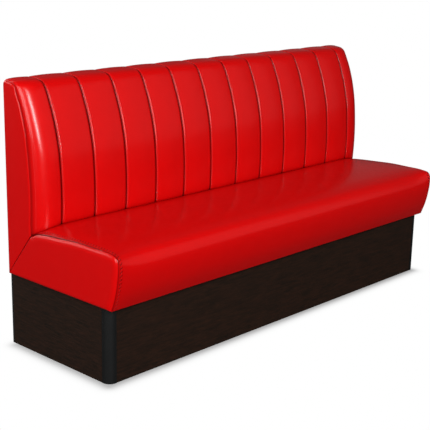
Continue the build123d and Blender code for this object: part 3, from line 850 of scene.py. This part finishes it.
def inset_line(line, inset):
    """A profile moved to its right, for a panel's edge that lies just under the next cover."""
    return line + right_normals(line) * inset


def seat_panel_lines():
    """The seat panel's bottom, front, top and mitre, from the seat's line at its side seam."""
    seam_foot = blend(back_seam_top_reach, back_seam_foot_reach, seam_shares[0][1])
    line = inset_line(seat_profile(0.0), panel_inset)
    line = line[line[:, 0] > seam_foot - fit_gap]
    turning = np.argmax(line[:, 0] > nose_reach - seat_seam_radius * panel_nose_share)
    top, front = line[:turning + 1], line[turning:][::-1]
    start = (panel_rear, panel_low)
    bottom = straight(start, front[0])
    return bottom, front, top, straight(start, top[0])


def back_panel_lines():
    """The back panel's mitre, front, top and rear, from the back's line at its side seam."""
    line = inset_line(back_profile(back_seam_x, 0.0), -panel_inset)
    corner = np.argmax(line[:, 1] > seam_top - panel_front_corner)
    rear = len(line) - 1 - np.argmax(line[::-1, 1] > seam_top - panel_rear_corner)
    front, top = line[:corner + 1], line[corner:rear + 1][::-1]
    start = (panel_rear, panel_low + fit_gap / 2)
    upright = np.linspace(start, (panel_rear, seam_top - back_rear_round), upright_points)[1:]
    rear_line = np.vstack([[start], upright, line[rear:-spline_steps][::-1]])
    return straight(start, front[0]), front, top, rear_line


def make_side_panels():
    for side, sign in (("left", -1), ("right", 1)):
        side_panel(f"seat_{side}_side_panel", seat_panel_lines(),
                   ("hem", "seat_seam", "seat_seam", "mitre"), seat_panel_grid, sign,
                   (f"seat_cover_{side}_side", f"seat_{side}_side_pad"))
        side_panel(f"back_{side}_side_panel", back_panel_lines(),
                   ("mitre", "back_seam", "back_seam", "rear"), back_panel_grid, sign,
                   (f"back_cover_{side}_side", f"back_{side}_side_pad"))


# Stitches

turn_along = Matrix.Rotation(pi / 2, 4, "Y")


def stitch_row(bm, path, normals):
    """Stitches of thread along a path, each a small rounded bar laid on the surface."""
    row = bmesh.new()
    length = running_length(path)
    count = int(length[-1] / stitch_pitch)
    for number in range(count):
        middle = (number + 0.5) * length[-1] / count
        ends = [[np.interp(middle + half * stitch_length / 2, length, column) for column in path.T]
                for half in (-1, 1)]
        normal = Vector([np.interp(middle, length, column) for column in normals.T]).normalized()
        along = (Vector(ends[1]) - Vector(ends[0])).normalized()
        across = normal.cross(along).normalized()
        centre = (Vector(ends[0]) + Vector(ends[1])) / 2
        sides = (along * stitch_length, across * stitch_thickness, normal * stitch_thickness)
        placed = Matrix.Translation(centre) @ Matrix(sides).transposed().to_4x4() @ turn_along
        bmesh.ops.create_uvsphere(row, u_segments=6, v_segments=4, radius=0.5, matrix=placed)
    mesh = bpy.data.meshes.new("stitch_row")
    row.to_mesh(mesh)
    row.free()
    bm.from_mesh(mesh)
    bpy.data.meshes.remove(mesh)


def row_on(columns, points, place, first, last):
    """The line of a surface at a place along the bench, with its normals."""
    column = int(np.argmin(np.abs(columns - place)))
    normals = surface_normals(points[max(0, column - 1):column + 2])
    facing = normals[min(1, column)]
    line = points[column]
    share = np.linspace(0, 1, len(line))
    keep = (share >= first) & (share <= last)
    return line[keep], facing[keep]


def make_stitches(seat, back):
    bm = bmesh.new()
    columns, points = back
    for number in range(channel_count - 1):
        groove = -end_groove_x + channel_pitch * number
        stitch_row(bm, *row_on(columns, points, groove + groove_stitch_offset, *back_row_span))
    for sign in (-1, 1):
        place = sign * (back_seam_x - back_stitch_offset)
        stitch_row(bm, *row_on(columns, points, place, *back_row_span))
    new_piece("back_stitches", bm, red_thread)
    bm = bmesh.new()
    columns, points = seat
    for sign in (-1, 1):
        place = sign * (side_seam_x - seat_stitch_offset)
        stitch_row(bm, *row_on(columns, points, place, *seat_row_span))
    new_piece("seat_stitches", bm, red_thread)


# Rear cover

def make_rear_cover():
    """A plain panel pulled over the rear board, with a turned hem all round."""
    low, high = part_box("back_cover_rear")
    bm = bmesh.new()
    bmesh.ops.create_cube(bm, size=1)
    for vert in bm.verts:
        vert.co = [blend(low[axis], high[axis], vert.co[axis] + 0.5) for axis in range(3)]
    outer = [face for face in bm.faces if face.normal.y > 0.5]
    bmesh.ops.inset_region(bm, faces=outer, thickness=hem_width, depth=0)
    bmesh.ops.inset_region(bm, faces=outer, thickness=hem_fold_width, depth=-hem_fold_depth)
    bmesh.ops.inset_region(bm, faces=outer, thickness=hem_rise_width, depth=hem_fold_depth)
    edges = [edge for edge in bm.edges if abs(edge.calc_face_angle(0)) > sharp_edge]
    bmesh.ops.bevel(bm, geom=edges, offset=rear_cover_bevel, segments=2, affect="EDGES", profile=0.5,
                    material=-1)
    bmesh.ops.recalc_face_normals(bm, faces=bm.faces)
    piece = new_piece("rear_cover_panel", bm, leather, smooth=False)
    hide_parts("back_cover_rear")


# Finishes of the pieces that stay as the frame has them, by how their names start. The rest is pine.
finishes = {
    "plinth_front_panel": wenge,
    "plinth_left_panel": wenge,
    "plinth_right_panel": wenge,
    "plinth_rear_panel": black_board,
    "plinth_left_corner_profile": profile_black,
    "plinth_right_corner_profile": profile_black,
    "plinth_rib": plywood,
    "seat_deck": ply_across,
    "dust_cover": cambric,
    "back_former": plywood,
    "back_left_end_panel": plywood,
    "back_right_end_panel": plywood,
    "back_top_rail": plywood,
    "back_middle_rail": plywood,
    "back_support_board": plywood,
    "back_rear_board": hardboard,
    "joining_bolts": zinc,
    "fixing_screws": zinc,
    "cover_staples": zinc,
}


def finish_frame():
    for name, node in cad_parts.items():
        fitting = [material for start, material in finishes.items() if name.startswith(start)]
        node.data.materials.clear()
        node.data.materials.append(fitting[0] if fitting else pine)


# Floor, light and camera

# The floor's painted shadow band follows the plinth's front and left side, and stops short of its two hidden
# sides.
shadow_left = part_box("plinth_left_panel")[0].x
shadow_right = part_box("plinth_right_panel")[1].x - 30 * mm
shadow_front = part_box("plinth_front_panel")[0].y
shadow_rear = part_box("plinth_rear_panel")[1].y - 40 * mm
shadow_sides = {
    "X": ((shadow_right + shadow_left) / 2, (shadow_right - shadow_left) / 2),
    "Y": ((shadow_rear + shadow_front) / 2, (shadow_rear - shadow_front) / 2),
}
shadow_reach = 34 * mm
shadow_share = 0.72
floor_half_width = 30
floor_painted_shadow_grey = (0.3, 0.3, 0.3)
floor_grey_in_reflections = (0.05, 0.05, 0.05)
surround_brightness = 0.05
lamp_aim = Vector((0, 0, 0.55))


def make_floor():
    bm = bmesh.new()
    bmesh.ops.create_grid(bm, x_segments=1, y_segments=1, size=floor_half_width)
    material, nodes, links, shader = node_material("pale_floor")
    mesh = bpy.data.meshes.new("floor")
    bm.to_mesh(mesh)
    bm.free()
    floor = bpy.data.objects.new("floor", mesh)
    bpy.context.scene.collection.objects.link(floor)
    shader.inputs["Roughness"].default_value = 0.9
    shader.inputs["Specular IOR Level"].default_value = 0.0
    light_path = nodes.new("ShaderNodeLightPath")
    seen = light_path.outputs["Is Camera Ray"]
    grey = mixed(nodes, links, seen, floor_grey_in_reflections, floor_painted_shadow_grey)
    links.new(grey, shader.inputs["Base Color"])
    white = nodes.new("ShaderNodeEmission")
    white.inputs["Color"].default_value = (1, 1, 1, 1)

    def maths(operation, first, second=None):
        node = nodes.new("ShaderNodeMath")
        node.operation = operation
        for socket, value in zip(node.inputs, (first, second)):
            if isinstance(value, float):
                socket.default_value = value
            elif value is not None:
                links.new(value, socket)
        return node.outputs[0]

    # Near the plinth the floor shows its own shading and the real shadow over a grey colour, which paints a
    # shadow band; away from it this fades into white.
    axes = nodes.new("ShaderNodeSeparateXYZ")
    links.new(nodes.new("ShaderNodeTexCoord").outputs["Object"], axes.inputs[0])
    gaps = []
    for axis, (middle, reach) in shadow_sides.items():
        away = maths("ABSOLUTE", maths("SUBTRACT", axes.outputs[axis], middle))
        beyond = maths("MAXIMUM", maths("SUBTRACT", away, reach), 0.0)
        gaps.append(maths("POWER", maths("DIVIDE", beyond, shadow_reach), 2.0))
    near = maths("EXPONENT", maths("MULTIPLY", maths("ADD", gaps[0], gaps[1]), -1.0))
    fading = maths("MULTIPLY", near, shadow_share)
    mix = nodes.new("ShaderNodeMixShader")
    links.new(maths("MULTIPLY", maths("SUBTRACT", 1.0, fading), seen), mix.inputs["Fac"])
    links.new(shader.outputs["BSDF"], mix.inputs[1])
    links.new(white.outputs["Emission"], mix.inputs[2])
    links.new(mix.outputs["Shader"], nodes["Material Output"].inputs["Surface"])
    mesh.materials.append(material)


def make_world():
    world = bpy.data.worlds.new("studio")
    bpy.context.scene.world = world
    world.use_nodes = True
    nodes, links = world.node_tree.nodes, world.node_tree.links
    background = nodes["Background"]
    background.inputs["Color"].default_value = (1, 1, 1, 1)
    light_path = nodes.new("ShaderNodeLightPath")
    strength = nodes.new("ShaderNodeMapRange")
    strength.inputs["To Min"].default_value = surround_brightness
    strength.inputs["To Max"].default_value = 1.0
    links.new(light_path.outputs["Is Camera Ray"], strength.inputs["Value"])
    links.new(strength.outputs["Result"], background.inputs["Strength"])


def area_light(name, direction, distance, width, height, brightness):
    """A lamp in a direction from the bench, as strong as a matt surface facing it is to look bright."""
    data = bpy.data.lights.new(name, "AREA")
    data.shape = "RECTANGLE"
    data.size, data.size_y = width, height
    data.energy = brightness * (pi * distance) ** 2
    lamp = bpy.data.objects.new(name, data)
    bpy.context.scene.collection.objects.link(lamp)
    toward = Vector(direction).normalized()
    lamp.location = lamp_aim + toward * distance
    lamp.rotation_euler = toward.to_track_quat("Z", "Y").to_euler()
    lamp.visible_camera = False


def make_lights():
    area_light("key", (-0.40, -0.80, 0.43), distance=9.0, width=1.1, height=5.0, brightness=1.0)
    area_light("left", (-0.91, -0.20, 0.37), distance=8.0, width=4.2, height=4.5, brightness=0.6)
    area_light("front_right", (0.50, -0.78, 0.38), distance=9.0, width=8.0, height=8.0, brightness=0.065)
    area_light("left_rear", (-0.68, 0.68, 0.27), distance=7.3, width=2.0, height=2.0, brightness=0.065)
    area_light("rear", (-0.08, 0.94, 0.33), distance=9.0, width=5.0, height=5.0, brightness=0.6)
    area_light("right_rear", (0.84, 0.48, 0.22), distance=7.0, width=3.4, height=1.8, brightness=0.0035)


# The camera, with its focal length in pixels of a picture this wide, and its angles in degrees
photo_width = 430
focal_pixels = 1045.1
sensor = 36.0
camera_place = (-3.2701, -2.8986, 1.5885)
camera_azimuth = -46.9
camera_elevation = 15.2
camera_roll = 1.2


def make_camera():
    azimuth, elevation, roll = (radians(angle) for angle in (camera_azimuth, camera_elevation, camera_roll))
    back = Vector((sin(azimuth) * cos(elevation), -cos(azimuth) * cos(elevation), sin(elevation)))
    right = Vector((cos(azimuth), sin(azimuth), 0))
    up = back.cross(right)
    turned = right * cos(roll) + up * sin(roll)
    risen = up * cos(roll) - right * sin(roll)
    data = bpy.data.cameras.new("photo_camera")
    data.sensor_width = sensor
    data.lens = focal_pixels / photo_width * sensor
    camera = bpy.data.objects.new("photo_camera", data)
    bpy.context.scene.collection.objects.link(camera)
    turn = Matrix((turned, risen, back)).transposed().to_4x4()
    camera.matrix_world = Matrix.Translation(camera_place) @ turn
    bpy.context.scene.camera = camera


finish_frame()
seat = make_seat_cushion()
back = make_back_cushion()
make_side_panels()
make_stitches(seat, back)
make_rear_cover()
make_floor()
make_world()
make_lights()
make_camera()
bpy.context.scene.view_settings.view_transform = "Standard"
